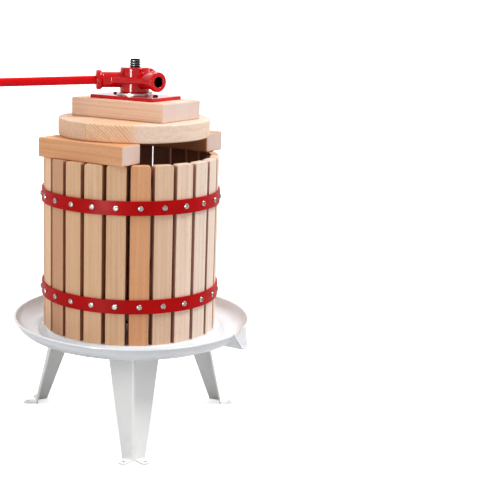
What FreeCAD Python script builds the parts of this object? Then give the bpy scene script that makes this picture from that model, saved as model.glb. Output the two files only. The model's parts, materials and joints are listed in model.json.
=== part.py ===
"""Fruit press: a slatted basket on a spouted tray and three legs, with a threaded spindle.

+Z is up along the spindle. The origin is on the spindle's axis at floor level.
-Y is the front, where one of the three legs stands. All sizes are in millimetres.
"""
import FreeCAD
import Part
import Sketcher
import math
import os

DRIVING_SIZES = {
    # stand and tray
    "floor_height": 190.0,         # top of the tray's raised middle, where the basket stands
    "tray_sheet": 1.6,
    "tray_middle_radius": 158.0,   # raised middle of the tray
    "step_angle": 55.0,            # slope of the step down to the gutter
    "step_bend": 5.0,
    "gutter_bend": 4.0,
    "gutter_depth": 15.4,
    "gutter_flat": 3.5,
    "wall_bend_low": 40.0,
    "wall_turn_low": 46.0,
    "wall_bend_high": 20.5,
    "wall_turn_high": 38.0,
    "rim_rise": 1.8,
    "rim_roll": 2.4,
    "rim_roll_turn": 215.0,
    "spout_azimuth": -29.6,
    "spout_mouth": 52.0,           # inside width at the rim
    "spout_floor": 13.0,           # inside width along the bottom
    "spout_tip": 21.5,             # inside width at the lip
    "spout_reach": 226.0,          # lip's distance from the spindle's axis
    "spout_fall": 1.6,             # lip's depth below the gutter
    "dish_sheet": 3.0,
    "dish_top_radius": 100.0,
    "dish_outer_radius": 152.0,
    "dish_slope": 60.0,
    "dish_bend": 6.0,
    "leg_sheet": 2.5,
    "leg_gap": 0.3,                # between a leg's top and the gutter above it
    "leg_foot_radius": 206.0,      # fold line's distance from the axis at the floor
    "leg_splay": 13.7,
    "leg_half_fold": 56.0,         # angle between a flange and the leg's radial plane
    "leg_foot_flange": 23.8,
    "leg_flange_growth": 0.176,    # extra flange width for each millimetre of height
    "leg_fold_bend": 7.0,
    "leg_plate_inner": 112.0,
    "leg_plate_half_width": 34.0,
    "foot_hole_reach": 15.0,
    "foot_tab_width": 17.0,
    "foot_hole_diameter": 7.0,
    "leg_bolt_reach": 132.5,
    "leg_bolt_spacing": 40.0,
    "leg_bolt_diameter": 8.0,
    "leg_bolt_length": 22.0,
    "hex_across_flats": 13.0,
    "bolt_head_height": 5.3,
    "leg_nut_height": 6.5,
    # spindle
    "spindle_diameter": 20.0,
    "spindle_bottom": 160.0,
    "spindle_top": 668.5,
    "spindle_chamfer": 2.0,
    "spindle_play": 0.3,
    "base_nut_flats": 30.0,
    "base_nut_height": 14.0,
    "seal_diameter": 44.0,
    "seal_thickness": 2.0,
    # basket
    "basket_offset": -4.4,         # the basket stands loose on the tray, a little to the left
    "stave_count": 24,
    "stave_first_azimuth": -100.9,
    "stave_width": 34.0,
    "stave_thickness": 15.0,
    "stave_height": 311.0,
    "stave_corner": 5.0,
    "stave_edge": 1.6,
    "basket_radius": 156.5,        # outer face of the staves
    "hoop_width": 24.0,
    "hoop_thickness": 3.0,
    "hoop_inner_radius": 157.5,
    "hoop_lower": 69.0,            # middle of each hoop above the staves' feet
    "hoop_upper": 239.5,
    "hoop_hole_diameter": 4.4,
    "screw_shank": 3.6,
    "screw_head": 9.4,
    "screw_head_height": 2.6,
    "screw_depth": 14.0,
    "screw_crown_width": 0.56,     # flat crown's share of a screw head's diameter
    "screw_shoulder_width": 0.86,  # where the crown starts to curve down
    "screw_shoulder_rise": 0.8,    # shares of the head's height
    "screw_side_rise": 0.45,
    "screw_cross_width": 1.3,
    "screw_cross_span": 5.2,
    "screw_cross_depth": 1.5,
    # pressing stack
    "stack_turn": -39.7,           # azimuth of the block's long side
    "beam_length": 186.0,
    "beam_width": 50.0,
    "beam_height": 34.0,
    "beam_outer": 148.8,           # beam's outer face from the axis
    "beam_shift": -2.8,
    "wood_edge": 2.5,
    "disc_radius": 135.0,
    "disc_thickness": 31.0,
    "disc_seam": 0.4,
    "disc_edge": 3.0,
    "wood_bore": 26.0,
    "block_offset": 1.5,           # the block and its plate have moved this far in their play
    "block_length": 203.0,
    "block_width": 112.0,
    "block_height": 33.0,
    "plate_length": 139.0,
    "plate_width": 85.0,
    "plate_thickness": 6.0,
    "plate_corner": 2.0,
    "plate_edge": 0.8,
    "plate_bore": 24.0,
    "plate_screw_spacing": 88.0,
    "plate_screw_hole": 5.4,
    "plate_screw_shank": 4.6,
    "plate_screw_head": 9.4,
    "plate_screw_head_height": 2.8,
    "plate_screw_length": 26.0,
    "washer_bore": 22.0,
    "washer_diameter": 64.0,
    "washer_thickness": 5.0,
    "washer_edge": 0.6,
    # press nut and bar
    "nut_azimuth": 184.9,
    "nut_hub": 52.0,
    "nut_height": 44.0,
    "nut_bore_play": 0.1,
    "nut_edge": 1.5,
    "socket_reach": 69.0,
    "socket_body": 27.5,
    "socket_collar": 34.5,
    "socket_collar_length": 8.0,
    "socket_cone": 3.5,
    "socket_bore": 17.5,
    "socket_bottom": 21.0,
    "web_thickness": 9.0,
    "web_reach": 60.0,
    "web_half_width": 4.0,
    "bar_diameter": 15.0,
    "bar_inner_end": 24.0,
    "bar_length": 450.0,
    "bar_droop": 1.8,
    "bar_pivot": 46.5,             # where the drooping bar crosses the socket's axis
    "bar_chamfer": 1.5,
}

doc = FreeCAD.newDocument("fruit_press")
sheet = doc.addObject("Spreadsheet::Sheet", "Sizes")
for row, (alias, value) in enumerate(DRIVING_SIZES.items(), start=1):
    sheet.set(f"A{row}", alias.replace("_", " "))
    sheet.set(f"B{row}", str(value))
    sheet.setAlias(f"B{row}", alias)
doc.recompute()

VERTICAL = FreeCAD.Vector(0, 0, 1)
ORIGIN = FreeCAD.Vector(0, 0, 0)
FAR = 1000.0    # longer than any part of the press


def size(alias):
    """Value of one driving size."""
    return float(sheet.get(alias))


def turned(degrees, height=0.0, offset=0.0):
    """Placement turned about an upright axis, raised, with that axis at a distance along X."""
    return FreeCAD.Placement(FreeCAD.Vector(offset, 0, height), FreeCAD.Rotation(VERTICAL, degrees))


def polar(radius, degrees, height=0.0):
    """Point at a distance and azimuth from the spindle's axis."""
    angle = math.radians(degrees)
    return FreeCAD.Vector(radius * math.cos(angle), radius * math.sin(angle), height)


# Heights of the stack, worked out from the driving sizes.
BASKET_FLOOR = "Sizes.floor_height"
BASKET_TOP = f"({BASKET_FLOOR} + Sizes.stave_height)"
BEAM_TOP = f"({BASKET_TOP} + Sizes.beam_height)"
DISC_TOP = f"({BEAM_TOP} + Sizes.disc_thickness)"
BLOCK_TOP = f"({DISC_TOP} + Sizes.block_height)"
PLATE_TOP = f"({BLOCK_TOP} + Sizes.plate_thickness)"
WASHER_TOP = f"({PLATE_TOP} + Sizes.washer_thickness)"
NUT_MIDDLE = f"({WASHER_TOP} + Sizes.nut_height / 2)"
TRAY_UNDERSIDE = "(Sizes.floor_height - Sizes.tray_sheet)"
GUTTER_UNDERSIDE = f"({TRAY_UNDERSIDE} - Sizes.gutter_depth)"
LEG_TOP = f"({GUTTER_UNDERSIDE} - Sizes.leg_gap)"
DISH_FLANGE_TOP = f"({LEG_TOP} + Sizes.dish_sheet)"


def value_of(expression):
    """Value of an expression written in the sheet's aliases."""
    result = sheet.evalExpression(str(expression))
    return float(result.Value if hasattr(result, "Value") else result)


# ---------------------------------------------------------------- sketches and features

def new_body(label):
    """Empty PartDesign body."""
    made = doc.addObject("PartDesign::Body", label)
    made.Label = label
    return made


def new_sketch(body, name, role, height="0"):
    """Sketch on one of the body's own origin planes, raised along the plane's normal."""
    sketch = body.newObject("Sketcher::SketchObject", name)
    plane = [item for item in body.Origin.OriginFeatures if item.Role == role][0]
    sketch.AttachmentSupport = [(plane, "")]
    sketch.MapMode = "FlatFace"
    sketch.setExpression(".AttachmentOffset.Base.z", height)
    return sketch


def bind(sketch, constraint, expression):
    """Add a constraint whose value follows an expression."""
    number = sketch.addConstraint(constraint)
    sketch.setExpression(f"Constraints[{number}]", str(expression))


def arc_between(start, end, radius, turn):
    """Arc of a circle between two points, running left (turn 1) or right (turn -1)."""
    chord = end - start
    rise = math.sqrt(radius ** 2 - (chord.Length / 2) ** 2)
    across = FreeCAD.Vector(-chord.y, chord.x, 0).normalize()
    middle = (start + end) / 2 + across * (turn * rise)
    first, last = (start, end) if turn > 0 else (end, start)
    angles = [math.atan2(point.y - middle.y, point.x - middle.x) for point in (first, last)]
    return Part.ArcOfCircle(Part.Circle(middle, VERTICAL, radius), angles[0], angles[1])


def add_outline(sketch, corners):
    """Closed outline. Each corner is a pair of expressions.

    A corner with a third and fourth entry, a radius and a turn of 1 (left) or -1 (right),
    starts an arc to the next corner instead of a straight line.
    """
    first = sketch.GeometryCount
    count = len(corners)
    points = [FreeCAD.Vector(value_of(corner[0]), value_of(corner[1]), 0) for corner in corners]
    ends = []
    for index, corner in enumerate(corners):
        start, end = points[index], points[(index + 1) % count]
        if len(corner) > 2:
            radius, turn = corner[2:]
            sketch.addGeometry(arc_between(start, end, value_of(radius), turn))
            ends.append((1, 2) if turn > 0 else (2, 1))
        else:
            sketch.addGeometry(Part.LineSegment(start, end))
            ends.append((1, 2))
    for index in range(count):
        follower = (index + 1) % count
        sketch.addConstraint(Sketcher.Constraint(
            "Coincident", first + index, ends[index][1], first + follower, ends[follower][0]))
    for index, corner in enumerate(corners):
        near = ends[index][0]
        bind(sketch, Sketcher.Constraint("DistanceX", first + index, near, points[index].x), corner[0])
        bind(sketch, Sketcher.Constraint("DistanceY", first + index, near, points[index].y), corner[1])
        if len(corner) > 2:
            bind(sketch, Sketcher.Constraint("Radius", first + index, value_of(corner[2])), corner[2])


def add_circle(sketch, radius, x="0", y="0"):
    """Full circle whose radius and middle are expressions."""
    middle = FreeCAD.Vector(value_of(x), value_of(y), 0)
    circle = sketch.addGeometry(Part.Circle(middle, VERTICAL, value_of(radius)))
    bind(sketch, Sketcher.Constraint("DistanceX", circle, 3, middle.x), x)
    bind(sketch, Sketcher.Constraint("DistanceY", circle, 3, middle.y), y)
    bind(sketch, Sketcher.Constraint("Radius", circle, value_of(radius)), radius)


def box_corners(left, right, low, high):
    """Corners of a rectangle, from its four edges."""
    return [(left, low), (right, low), (right, high), (left, high)]


def hexagon_corners(across_flats):
    """Corners of a hexagon with two corners on the sketch's X axis."""
    reach = f"({across_flats} / 2 / cos(30))"
    return [(f"{reach} * cos({60 * k})", f"{reach} * sin({60 * k})") for k in range(6)]


def add_feature(body, kind, name, sketch):
    """Sketch-based feature of a body, with its sketch as profile."""
    feature = body.newObject(f"PartDesign::{kind}", name)
    feature.Profile = sketch
    return feature


def add_pad(body, name, sketch, length, both_ways=False):
    """Pad along the sketch's normal."""
    pad = add_feature(body, "Pad", name, sketch)
    pad.setExpression("Length", length)
    pad.Midplane = both_ways
    return pad


def add_through_pocket(body, name, sketch):
    """Pocket both ways from its sketch, through any body less than FAR / 2 away."""
    pocket = add_feature(body, "Pocket", name, sketch)
    pocket.Type = "Length"
    pocket.Length = FAR
    pocket.Midplane = True
    return pocket


def add_turned(body, name, sketch, axis, kind="Revolution"):
    """Full revolution or groove about one axis of the sketch."""
    feature = add_feature(body, kind, name, sketch)
    feature.ReferenceAxis = (sketch, [axis])
    feature.Angle = 360.0
    return feature


def add_round_pattern(body, name, feature, count):
    """Even pattern of one feature about the body's Z axis."""
    pattern = body.newObject("PartDesign::PolarPattern", name)
    pattern.Originals = [feature]
    axis = [item for item in body.Origin.OriginFeatures if item.Role == "Z_Axis"][0]
    pattern.Axis = (axis, [""])
    pattern.Angle = 360.0
    pattern.setExpression("Occurrences", str(count))
    body.Tip = pattern
    return pattern


def add_edge_finish(body, kind, name, amount, chosen):
    """Fillet or chamfer on the edges of the body's tip that chosen() accepts."""
    doc.recompute()
    tip = body.Tip
    names = [f"Edge{k}" for k, edge in enumerate(tip.Shape.Edges, start=1) if chosen(edge)]
    finish = body.newObject(f"PartDesign::{kind}", name)
    finish.Base = (tip, names)
    finish.setExpression("Radius" if kind == "Fillet" else "Size", amount)
    return finish


def all_points(edge, test, tolerance=0.05):
    """True when both ends and the middle of an edge pass a test."""
    low, high = edge.ParameterRange
    points = [edge.valueAt(low), edge.valueAt((low + high) / 2), edge.valueAt(high)]
    return all(abs(test(point)) < tolerance for point in points)


def ring_edge(radius, height):
    """Test for a circular edge about the Z axis."""
    def test(edge):
        round_about = all_points(edge, lambda p: math.hypot(p.x, p.y) - radius)
        return round_about and all_points(edge, lambda p: p.z - height)
    return test


# ---------------------------------------------------------------- formed sheet

def walked_edges(start, heading, moves, offset):
    """Edges of a bent sheet's section, at an offset to the right of its leading face.

    Each move is ("line", length) or ("bend", radius of the leading face, turn in degrees).
    """
    edges = []
    angle = math.radians(heading)
    right = FreeCAD.Vector(math.sin(angle), 0, -math.cos(angle))
    point = start + right * offset
    for move in moves:
        forward = FreeCAD.Vector(math.cos(angle), 0, math.sin(angle))
        right = FreeCAD.Vector(math.sin(angle), 0, -math.cos(angle))
        if move[0] == "line":
            end = point + forward * move[1]
            edges.append(Part.LineSegment(point, end).toShape())
        else:
            side = -1 if move[2] > 0 else 1
            radius = move[1] - side * offset
            turn = math.radians(move[2])
            middle = point + right * (side * radius)
            arm = point - middle

            def swung(share):
                swing = FreeCAD.Rotation(FreeCAD.Vector(0, -1, 0), math.degrees(turn) * share)
                return middle + swing.multVec(arm)
            end = swung(1.0)
            edges.append(Part.Arc(point, swung(0.5), end).toShape())
            angle += turn
        point = end
    return edges, point


def spun_sheet(start, heading, moves, thickness):
    """Solid of revolution of a bent sheet, and its leading face's edges."""
    lead, lead_end = walked_edges(start, heading, moves, 0.0)
    back, back_end = walked_edges(start, heading, moves, thickness)
    back_start = back[0].Vertexes[0].Point
    ends = [Part.LineSegment(lead_end, back_end).toShape()]
    ends.append(Part.LineSegment(start, back_start).toShape())
    section = Part.Face(Part.Wire(Part.__sortEdges__(lead + back + ends)))
    return section.revolve(ORIGIN, VERTICAL, 360), lead


def step_moves(drop, slope, upper_bend, lower_bend):
    """Moves of a sheet that steps down by a drop, between two bends."""
    in_bends = (upper_bend + lower_bend) * (1 - math.cos(math.radians(slope)))
    run = (drop - in_bends) / math.sin(math.radians(slope))
    return [("bend", upper_bend, -slope), ("line", run), ("bend", lower_bend, slope)]


def tray_moves():
    """Moves of the tray's section outward from the spindle's hole."""
    inner = size("spindle_diameter") / 2 + size("spindle_play")
    moves = [("line", size("tray_middle_radius") - inner)]
    moves += step_moves(size("gutter_depth"), size("step_angle"), size("step_bend"), size("gutter_bend"))
    moves.append(("line", size("gutter_flat")))
    moves.append(("bend", size("wall_bend_low"), size("wall_turn_low")))
    moves.append(("bend", size("wall_bend_high"), size("wall_turn_high")))
    moves.append(("line", size("rim_rise")))
    moves.append(("bend", size("rim_roll"), -size("rim_roll_turn")))
    return moves


def spout_block(floor, sections):
    """Solid through cross-sections (reach, half width at the top, low, high) along the spout.

    The floor is half the bottom's width, the same all along. The sloping sides are
    split along a diagonal so that every face is flat.
    """
    rings = []
    for reach, half, low, high in sections:
        corners = [(-floor, low), (floor, low), (half, high), (-half, high)]
        rings.append([FreeCAD.Vector(reach, y, z) for y, z in corners])
    outlines = [rings[0], rings[-1]]
    for near, far in zip(rings, rings[1:]):
        outlines.append([near[0], near[1], far[1], far[0]])
        outlines.append([near[2], near[3], far[3], far[2]])
        for bottom, top in ((0, 3), (1, 2)):
            outlines.append([near[bottom], far[bottom], far[top]])
            outlines.append([near[bottom], far[top], near[top]])
    faces = [Part.Face(Part.makePolygon(outline + outline[:1])) for outline in outlines]
    block = Part.makeSolid(Part.makeShell(faces))
    if block.Volume < 0:
        block.reverse()
    return block


def make_tray():
    """Enamelled sheet tray: raised middle, gutter, curved wall, rolled rim and spout."""
    thickness = size("tray_sheet")
    inner = size("spindle_diameter") / 2 + size("spindle_play")
    start = FreeCAD.Vector(inner, 0, size("floor_height"))
    body, lead = spun_sheet(start, 0.0, tray_moves(), thickness)

    # The bowl's inside, up to where the rim starts to roll.
    wall = lead[:-1]
    rim = wall[-1].Vertexes[-1].Point
    above = FreeCAD.Vector(rim.x, 0, FAR)
    top_inner = FreeCAD.Vector(inner, 0, FAR)
    sides = [(rim, above), (above, top_inner), (top_inner, start)]
    closing = [Part.LineSegment(a, b).toShape() for a, b in sides]
    inside = Part.Face(Part.Wire(Part.__sortEdges__(wall + closing))).revolve(ORIGIN, VERTICAL, 360)

    gutter_top = size("floor_height") - size("gutter_depth")
    gutter_start = lead[3].Vertexes[-1].Point.x + size("gutter_flat") / 2
    rim_top = rim.z + size("rim_roll")
    floor = size("spout_floor") / 2
    mouth = size("spout_mouth") / 2
    tip = size("spout_tip") / 2
    lip = gutter_top - size("spout_fall")
    reach = size("spout_reach")
    edge_reach = rim.x + 2 * size("rim_roll")
    share = (edge_reach - gutter_start) / (reach - gutter_start)
    edge_low = gutter_top - share * size("spout_fall")

    shell = spout_block(floor + thickness, [
        (gutter_start, mouth + thickness, gutter_top - thickness, rim_top),
        (edge_reach, mouth + thickness, edge_low - thickness, rim_top),
        (reach, tip + thickness, lip - thickness, lip + thickness),
    ])
    channel = spout_block(floor, [
        (gutter_start, mouth, gutter_top, rim_top + thickness),
        (edge_reach, mouth, edge_low, rim_top + thickness),
        (reach + thickness, tip, lip, lip + 2 * thickness),
    ])
    spin = turned(size("spout_azimuth"))
    shell.Placement = spin
    channel.Placement = spin
    spout = shell.cut(channel).cut(inside)
    tray = body.cut(channel).fuse(spout).removeSplitter()
    return tray


def make_dish():
    """Pressed steel dish under the tray that the legs and the spindle are fastened to."""
    inner = size("spindle_diameter") / 2 + size("spindle_play")
    top = value_of(TRAY_UNDERSIDE)
    drop = top - value_of(DISH_FLANGE_TOP)
    moves = [("line", size("dish_top_radius") - inner)]
    steps = step_moves(drop, size("dish_slope"), size("dish_bend"), size("dish_bend"))
    moves += steps
    _, end = walked_edges(FreeCAD.Vector(inner, 0, top), 0.0, moves, 0.0)
    moves.append(("line", size("dish_outer_radius") - end.x))
    dish, _ = spun_sheet(FreeCAD.Vector(inner, 0, top), 0.0, moves, size("dish_sheet"))
    for x, y in leg_bolt_places():
        hole = Part.makeCylinder(size("leg_bolt_diameter") / 2 + size("spindle_play"), FAR)
        hole.Placement = FreeCAD.Placement(FreeCAD.Vector(x, y, 0), FreeCAD.Rotation())
        dish = dish.cut(hole)
    return dish


LEG_AZIMUTHS = {"leg_front": -90.0, "leg_right": 28.0, "leg_left": 152.0}


def leg_bolt_places():
    """Middles of the six leg bolts, two for each leg."""
    places = []
    for azimuth in LEG_AZIMUTHS.values():
        for side in (-1, 1):
            local = FreeCAD.Vector(size("leg_bolt_reach"), side * size("leg_bolt_spacing") / 2, 0)
            place = turned(azimuth).multVec(local)
            places.append((place.x, place.y))
    return places


def make_shape_part(label, shape):
    """Sub-part whose shape comes from Part's own functions."""
    part = doc.addObject("Part::Feature", label)
    part.Label = label
    part.Shape = shape
    return part


# ---------------------------------------------------------------- legs

FOLD_COS = "cos(Sizes.leg_half_fold)"
FOLD_SIN = "sin(Sizes.leg_half_fold)"
FOLD_TAN = "tan(Sizes.leg_half_fold)"


def leg_ridge(height):
    """Distance from the spindle's axis to the line where a leg's outer faces would meet."""
    return f"(Sizes.leg_foot_radius - ({height}) * tan(Sizes.leg_splay))"


def leg_flange_end(height):
    """Outer corner of a leg's flange at a height above the floor."""
    flange = f"(Sizes.leg_foot_flange + ({height}) * Sizes.leg_flange_growth)"
    return f"{leg_ridge(height)} - {flange} * {FOLD_COS}", f"{flange} * {FOLD_SIN}"


def leg_section(height):
    """Corners of a leg's folded section at a height above the floor."""
    bend = "Sizes.leg_fold_bend"
    inner_bend = "(Sizes.leg_fold_bend - Sizes.leg_sheet)"
    inner_ridge = f"({leg_ridge(height)} - Sizes.leg_sheet / {FOLD_SIN})"
    end_x, end_y = leg_flange_end(height)
    upper = [(f"{leg_ridge(height)} - {bend} / {FOLD_TAN} * {FOLD_COS}", f"{bend} / {FOLD_TAN} * {FOLD_SIN}")]
    upper.append((end_x, end_y))
    upper.append((f"{end_x} - Sizes.leg_sheet * {FOLD_SIN}", f"{end_y} - Sizes.leg_sheet * {FOLD_COS}"))
    upper.append((f"{inner_ridge} - {inner_bend} / {FOLD_TAN} * {FOLD_COS}",
                  f"{inner_bend} / {FOLD_TAN} * {FOLD_SIN}"))
    lower = [(x, f"-({y})") for x, y in reversed(upper)]
    upper[-1] += (inner_bend, -1)
    lower[-1] += (bend, 1)
    return upper + lower


def foot_tab_middle(side):
    """Middle of one flange's outer face at the floor, and the way it faces, as expressions."""
    x = f"(Sizes.leg_foot_radius - Sizes.leg_foot_flange / 2 * {FOLD_COS})"
    y = f"({side} * Sizes.leg_foot_flange / 2 * {FOLD_SIN})"
    return x, y, FOLD_SIN, f"({side} * {FOLD_COS})"


def make_leg(label, azimuth):
    """Leg folded from sheet, with a top plate and two foot tabs."""
    body = new_body(label)
    foot = new_sketch(body, "FootSection", "XY_Plane")
    add_outline(foot, leg_section("0"))
    top = new_sketch(body, "TopSection", "XY_Plane", LEG_TOP)
    add_outline(top, leg_section(LEG_TOP))
    loft = add_feature(body, "AdditiveLoft", "Flanges", foot)
    loft.Sections = [top]
    loft.Ruled = True

    plate = new_sketch(body, "TopPlate", "XY_Plane", f"{LEG_TOP} - Sizes.leg_sheet")
    fold_depth = f"Sizes.leg_fold_bend * (1 / {FOLD_SIN} - 1) + Sizes.leg_sheet / 2"
    end_x, end_y = leg_flange_end(LEG_TOP)
    upper = [(f"{end_x} - Sizes.leg_sheet / 2 * {FOLD_SIN}", f"{end_y} - Sizes.leg_sheet / 2 * {FOLD_COS}")]
    upper.append(("Sizes.leg_plate_inner", "Sizes.leg_plate_half_width"))
    lower = [(x, f"-({y})") for x, y in reversed(upper)]
    add_outline(plate, [(f"{leg_ridge(LEG_TOP)} - ({fold_depth})", "0")] + upper + lower)
    add_pad(body, "TopPlatePad", plate, "Sizes.leg_sheet")

    tabs = new_sketch(body, "FootTabs", "XY_Plane")
    ends = new_sketch(body, "FootTabEnds", "XY_Plane")
    holes = new_sketch(body, "LegHoles", "XY_Plane")
    half_tab = "Sizes.foot_tab_width / 2"
    for side in (1, -1):
        x, y, way_x, way_y = foot_tab_middle(side)
        reach = "Sizes.foot_hole_reach"
        sunk = "(-Sizes.leg_sheet / 2)"
        corners = []
        for along, across in ((sunk, -1), (reach, -1), (reach, 1), (sunk, 1)):
            corner_x = f"{x} + {along} * {way_x} - {across} * {half_tab} * {way_y}"
            corner_y = f"{y} + {along} * {way_y} + {across} * {half_tab} * {way_x}"
            corners.append((corner_x, corner_y))
        add_outline(tabs, corners)
        hole_x = f"{x} + {reach} * {way_x}"
        hole_y = f"{y} + {reach} * {way_y}"
        add_circle(ends, half_tab, hole_x, hole_y)
        add_circle(holes, "Sizes.foot_hole_diameter / 2", hole_x, hole_y)
        bolt_y = f"{side} * Sizes.leg_bolt_spacing / 2"
        bolt_radius = "Sizes.leg_bolt_diameter / 2 + Sizes.spindle_play"
        add_circle(holes, bolt_radius, "Sizes.leg_bolt_reach", bolt_y)
    add_pad(body, "FootTabsPad", tabs, "Sizes.leg_sheet")
    add_pad(body, "FootTabEndsPad", ends, "Sizes.leg_sheet")
    add_through_pocket(body, "LegHolesPocket", holes)
    body.Placement = turned(azimuth)
    return body


# ---------------------------------------------------------------- fasteners

def make_hex(label, flats, height, bore=None):
    """Hexagonal prism, bored or plain, standing on the XY plane."""
    body = new_body(label)
    sketch = new_sketch(body, "Hexagon", "XY_Plane")
    add_outline(sketch, hexagon_corners(flats))
    if bore:
        add_circle(sketch, bore)
    add_pad(body, "HexagonPad", sketch, height)
    return body


def make_turned(label, corners, placement=None):
    """Body turned about its Z axis from an outline of (distance from axis, height) corners."""
    body = new_body(label)
    sketch = new_sketch(body, "Section", "XZ_Plane")
    add_outline(sketch, corners)
    add_turned(body, "Turned", sketch, "V_Axis")
    if placement is not None:
        body.Placement = placement
    return body


def make_cross_screw(label, shank, head, head_height, length):
    """Pan-head screw with a cross recess. Its head's underside is at z = 0 and it points down."""
    body = new_body(label)
    sketch = new_sketch(body, "Section", "XZ_Plane")
    add_outline(sketch, [
        ("0", head_height), (f"{head} * Sizes.screw_crown_width / 2", head_height),
        (f"{head} * Sizes.screw_shoulder_width / 2", f"{head_height} * Sizes.screw_shoulder_rise"),
        (f"{head} / 2", f"{head_height} * Sizes.screw_side_rise"),
        (f"{head} / 2", "0"), (f"{shank} / 2", "0"),
        (f"{shank} / 2", f"-{length} + {shank}"), ("0", f"-{length}"),
    ])
    add_turned(body, "Turned", sketch, "V_Axis")
    recess = new_sketch(body, "Recess", "XY_Plane", head_height)
    span = "Sizes.screw_cross_span / 2"
    half = "Sizes.screw_cross_width / 2"
    add_outline(recess, [
        (span, f"-{half}"), (span, half), (half, half), (half, span),
        (f"-{half}", span), (f"-{half}", half), (f"-{span}", half), (f"-{span}", f"-{half}"),
        (f"-{half}", f"-{half}"), (f"-{half}", f"-{span}"), (half, f"-{span}"), (half, f"-{half}"),
    ])
    pocket = add_feature(body, "Pocket", "RecessPocket", recess)
    pocket.setExpression("Length", "Sizes.screw_cross_depth")
    return body


def make_group(label, pattern, placements):
    """One node that holds a copy of a pattern part at each placement."""
    doc.recompute()
    copies = []
    for placement in placements:
        copy = pattern.Shape.copy()
        copy.Placement = placement
        copies.append(copy)
    return make_shape_part(label, Part.makeCompound(copies))


# ---------------------------------------------------------------- build: stand

def make_stand():
    """Tray, dish, legs, spindle and their fasteners."""
    parts = [make_shape_part("juice_tray", make_tray()), make_shape_part("base_dish", make_dish())]
    for label, azimuth in LEG_AZIMUTHS.items():
        parts.append(make_leg(label, azimuth))

    bolt = make_hex("leg_bolt_pattern", "Sizes.hex_across_flats", "Sizes.bolt_head_height")
    shank = new_sketch(bolt, "Shank", "XY_Plane")
    add_circle(shank, "Sizes.leg_bolt_diameter / 2")
    shank_pad = add_pad(bolt, "ShankPad", shank, "Sizes.leg_bolt_length")
    shank_pad.Reversed = True
    nut = make_hex("leg_nut_pattern", "Sizes.hex_across_flats", "Sizes.leg_nut_height",
                   "Sizes.leg_bolt_diameter / 2")
    head_seat = value_of(DISH_FLANGE_TOP)
    nut_seat = value_of(LEG_TOP) - size("leg_sheet") - size("leg_nut_height")
    level = FreeCAD.Rotation()
    heads = [FreeCAD.Placement(FreeCAD.Vector(x, y, head_seat), level) for x, y in leg_bolt_places()]
    nuts = [FreeCAD.Placement(FreeCAD.Vector(x, y, nut_seat), level) for x, y in leg_bolt_places()]
    parts.append(make_group("leg_bolts", bolt, heads))
    parts.append(make_group("leg_nuts", nut, nuts))

    radius = "Sizes.spindle_diameter / 2"
    chamfer = "Sizes.spindle_chamfer"
    parts.append(make_turned("spindle", [
        ("0", "Sizes.spindle_bottom"), (f"{radius} - {chamfer}", "Sizes.spindle_bottom"),
        (radius, f"Sizes.spindle_bottom + {chamfer}"), (radius, f"Sizes.spindle_top - {chamfer}"),
        (f"{radius} - {chamfer}", "Sizes.spindle_top"), ("0", "Sizes.spindle_top"),
    ]))
    seal_top = size("floor_height") + size("seal_thickness")
    parts.append(make_turned("tray_seal", box_corners(
        radius, "Sizes.seal_diameter / 2", "0", "Sizes.seal_thickness"), turned(0, size("floor_height"))))
    for label, height in (("spindle_clamp_nut", seal_top),
                          ("spindle_base_nut", value_of(TRAY_UNDERSIDE) - size("dish_sheet")
                           - size("base_nut_height"))):
        clamp = make_hex(label, "Sizes.base_nut_flats", "Sizes.base_nut_height", radius)
        clamp.Placement = turned(0, height)
        parts.append(clamp)
    return parts


# ---------------------------------------------------------------- build: basket

def stave_azimuths():
    """Azimuth of each stave's middle."""
    count = int(size("stave_count"))
    return [size("stave_first_azimuth") + 360.0 / count * k for k in range(count)]


def make_stave(label, azimuth):
    """One slat of the basket, standing on the tray, with a hole for each hoop's screw."""
    body = new_body(label)
    outer = "Sizes.basket_radius"
    half = "Sizes.stave_width / 2"
    section = new_sketch(body, "Section", "XY_Plane", BASKET_FLOOR)
    add_outline(section, box_corners(f"{outer} - Sizes.stave_thickness", outer, f"-{half}", half))
    add_pad(body, "Slat", section, "Sizes.stave_height")
    outer_face = size("basket_radius")
    side_face = size("stave_width") / 2
    top_face = value_of(BASKET_TOP)

    def top_corner(edge):
        return all_points(edge, lambda p: p.z - top_face) and all_points(edge, lambda p: abs(p.y) - side_face)

    def outer_long_edge(edge):
        at_side = all_points(edge, lambda p: abs(p.y) - side_face, size("stave_corner") + 1)
        return all_points(edge, lambda p: p.x - outer_face) and at_side and edge.Length > 1
    add_edge_finish(body, "Fillet", "TopCorners", "Sizes.stave_corner", top_corner)
    add_edge_finish(body, "Fillet", "OuterEdges", "Sizes.stave_edge", outer_long_edge)
    holes = new_sketch(body, "ScrewHoles", "YZ_Plane", outer)
    for hoop in ("Sizes.hoop_lower", "Sizes.hoop_upper"):
        add_circle(holes, "Sizes.screw_shank / 2", "0", f"{BASKET_FLOOR} + {hoop}")
    drilled = add_feature(body, "Pocket", "ScrewHolesPocket", holes)
    drilled.setExpression("Length", "Sizes.screw_depth - Sizes.hoop_thickness")
    body.Placement = turned(azimuth, offset=size("basket_offset"))
    return body


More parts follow.
